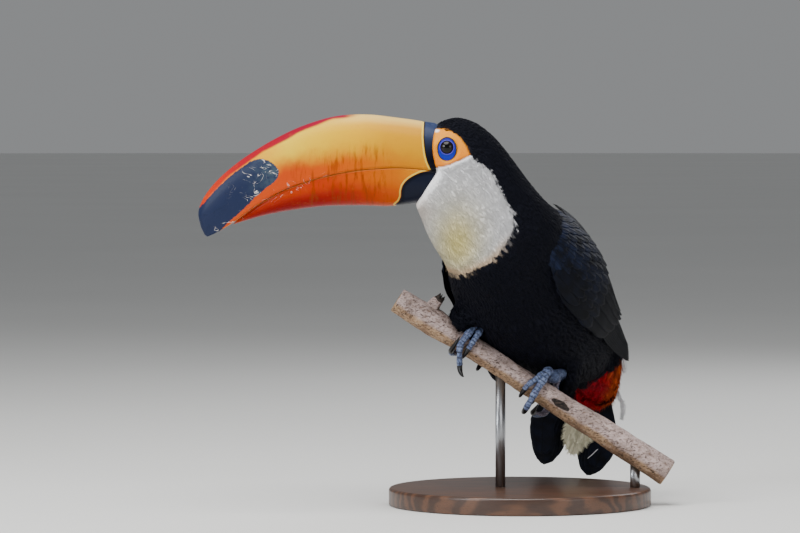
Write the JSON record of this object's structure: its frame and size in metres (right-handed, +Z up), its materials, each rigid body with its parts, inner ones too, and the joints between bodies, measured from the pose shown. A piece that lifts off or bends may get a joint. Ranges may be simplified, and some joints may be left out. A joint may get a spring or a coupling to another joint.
{
  "type": "perched toucan display model",
  "caption": "Life-size still toucan with a very large curved bill, perched on a cut slanting branch held by thin rods over a round base.",
  "frame": {"origin": "centre of the round base's flat underside", "axes": "+Z up; the bill points towards -X and the head's plane of symmetry is parallel to XZ; -Y is the side that the breast is turned to"},
  "size_m": [0.3795, 0.2583, 0.3123],
  "materials": {
    "black_feathers": "soft black feathers with a faint blue sheen; the head's throat, bib and eye patch are white and orange",
    "red_feathers": "soft red feathers, orange at the sides",
    "white_feathers": "soft white feathers with a cream tint",
    "bill": "satin horn, yellow to orange with a crimson ridge, a black tip and a black band at the base",
    "eye": "wet, dark brown to black",
    "foot_skin": "satin blue scales",
    "claw": "satin black horn",
    "bark": "matt pinkish grey bark with dark specks",
    "base": "satin dark wood",
    "rod": "brushed"
  },
  "bodies": {
    "root": {"bill_upper": "bill", "bill_lower": "bill", "head": "black_feathers", "neck": "black_feathers", "torso": "black_feathers", "eye_left": "eye", "eye_right": "eye", "wing_left": "black_feathers", "wing_right": "black_feathers", "tail": "black_feathers", "tail_coverts_under": "red_feathers", "tail_coverts_upper": "white_feathers", "thigh_left": "black_feathers", "thigh_right": "black_feathers", "foot_left": "foot_skin", "foot_right": "foot_skin", "claw_left_inner": "claw", "claw_left_middle": "claw", "claw_left_outer": "claw", "claw_left_hind": "claw", "claw_right_inner": "claw", "claw_right_middle": "claw", "claw_right_outer": "claw", "claw_right_hind": "claw", "perch": "bark", "stand_base": "base", "stand_rod_left": "rod", "stand_rod_right": "rod"}
  },
  "joints": []
}
